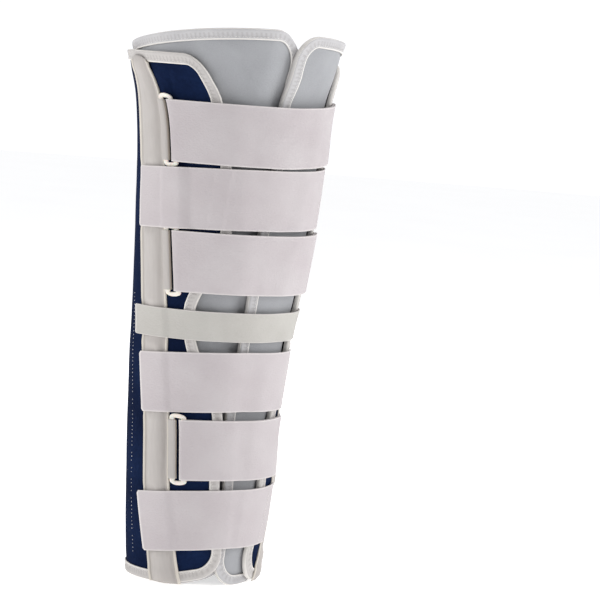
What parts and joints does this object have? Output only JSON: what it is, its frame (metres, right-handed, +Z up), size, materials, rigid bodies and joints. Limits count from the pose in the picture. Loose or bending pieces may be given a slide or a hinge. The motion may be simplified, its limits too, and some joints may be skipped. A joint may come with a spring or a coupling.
{
  "type": "knee immobilizer",
  "caption": "Tall soft knee immobilizer: a bound foam liner in a bound laminate shell, open at the front, closed by wide straps, some through slot loops.",
  "frame": {"origin": "under the middle of the outer box, on the surface that the brace stands on", "axes": "+Z up along the leg, -Y to the front of the knee, -X to the side with the slot loops"},
  "size_m": [0.255, 0.2502, 0.642],
  "materials": {
    "grey_foam": "light grey brushed nylon face on foam, soft and even",
    "white_tape": "white woven binding tape, zigzag stitched, slightly puckered",
    "navy_laminate": "navy woven nylon face on foam, matt, with lines of pale stitches",
    "white_cover": "smooth white woven cover over a stay, piped along both edges",
    "white_webbing": "white brushed loop strap with a faint pink cast, matt",
    "cream_webbing": "off-white brushed loop strap, matt",
    "white_plastic": "moulded white plastic, half gloss"
  },
  "bodies": {
    "root": {"liner": "grey_foam", "liner_binding": "white_tape", "outer_shell": "navy_laminate", "shell_binding": "white_tape", "stay_cover_near": "white_cover", "stay_cover_far": "white_cover", "strap_1": "white_webbing", "strap_2": "white_webbing", "strap_3": "white_webbing", "strap_4": "cream_webbing", "strap_5": "white_webbing", "strap_6": "white_webbing", "strap_7": "white_webbing", "slot_loop_1": "white_plastic", "slot_loop_3": "white_plastic", "slot_loop_6": "white_plastic", "loop_tab_1": "white_tape", "loop_tab_3": "white_tape", "loop_tab_6": "white_tape"}
  },
  "joints": []
}
